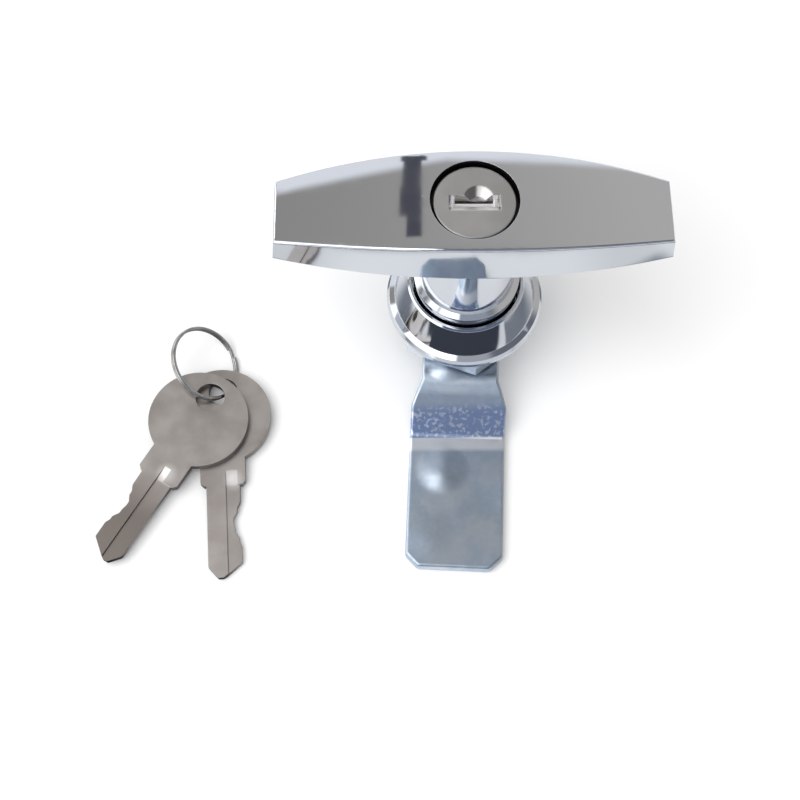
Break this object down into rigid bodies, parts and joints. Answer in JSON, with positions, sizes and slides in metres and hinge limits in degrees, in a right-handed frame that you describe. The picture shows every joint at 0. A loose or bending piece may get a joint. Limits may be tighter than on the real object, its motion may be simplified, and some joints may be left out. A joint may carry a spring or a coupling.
{
  "type": "t-handle lock",
  "caption": "Keyed T-handle lock for a cabinet door: T-shaped grip on a round neck, conical flanged housing, fixing nut and a cranked cam, with two keys on a split ring.",
  "frame": {"origin": "centre of the flange's seat on the panel, on the lock's axis", "axes": "+Z along the lock's axis from the panel towards the grip; the cam points along -Y and the grip lies along X"},
  "size_m": [0.1221, 0.0769, 0.0614],
  "materials": {
    "chrome_casting": "polished chrome plating",
    "satin_nickel": "satin nickel plating on brass",
    "brass": "stamped, bare",
    "spring_steel": "bare wire",
    "steel": "plain steel",
    "zinc_plated_steel": "bright zinc plating, bluish",
    "ring_steel": "nickel-plated wire",
    "rubber": "matt black"
  },
  "bodies": {
    "housing": {"housing": "chrome_casting", "panel_gasket": "rubber", "hex_nut": "zinc_plated_steel"},
    "handle": {"t_handle": "chrome_casting", "neck_o_ring": "rubber", "stop_washer": "zinc_plated_steel", "cam": "zinc_plated_steel", "plain_washer": "zinc_plated_steel", "spring_washer": "zinc_plated_steel", "cam_screw": "zinc_plated_steel"},
    "plug": {"lock_plug": "satin_nickel", "plug_tailpiece": "steel", "retainer_wafer": "brass", "retainer_spring": "spring_steel", "wafer_springs": "spring_steel"},
    "wafers": {"wafers": "brass"},
    "bolt": {"locking_bolt": "steel"},
    "key_ring": {"key_ring": "ring_steel"},
    "key_front": {"key_front": "satin_nickel"},
    "key_back": {"key_back": "satin_nickel"}
  },
  "joints": [
    {"name": "handle_turn", "type": "hinge", "parent": "housing", "child": "handle", "pos_m": [0, 0, 0], "axis": [0, 0, 1], "range_deg": [0, 90]},
    {"name": "plug_turn", "type": "hinge", "parent": "handle", "child": "plug", "pos_m": [0, 0, 0], "axis": [0, 0, 1], "range_deg": [0, 90]},
    {"name": "bolt_slide", "type": "slide", "parent": "handle", "child": "bolt", "axis": [1, 0, 0], "range_m": [0, 0.00226]},
    {"name": "wafer_drop", "type": "slide", "parent": "plug", "child": "wafers", "axis": [-1, 0, 0], "range_m": [0, 0.0008], "deforming": ["wafer_springs"]},
    {"name": "keys_lift", "type": "slide", "parent": "housing", "child": "key_ring", "axis": [0, 0, 1], "range_m": [0, 0.06]},
    {"name": "key_front_swing", "type": "hinge", "parent": "key_ring", "child": "key_front", "pos_m": [-0.05751, -0.01808, -0.01436], "axis": [0, -0.0431, 0.9991], "range_deg": [-20, 20]},
    {"name": "key_back_swing", "type": "hinge", "parent": "key_ring", "child": "key_back", "pos_m": [-0.05512, -0.01668, -0.01631], "axis": [0, -0.0431, 0.9991], "range_deg": [-20, 20]}
  ],
  "couplings": [
    {"joint": "bolt_slide", "follows": "plug_turn", "m_per_rad": 0.0014405}
  ]
}
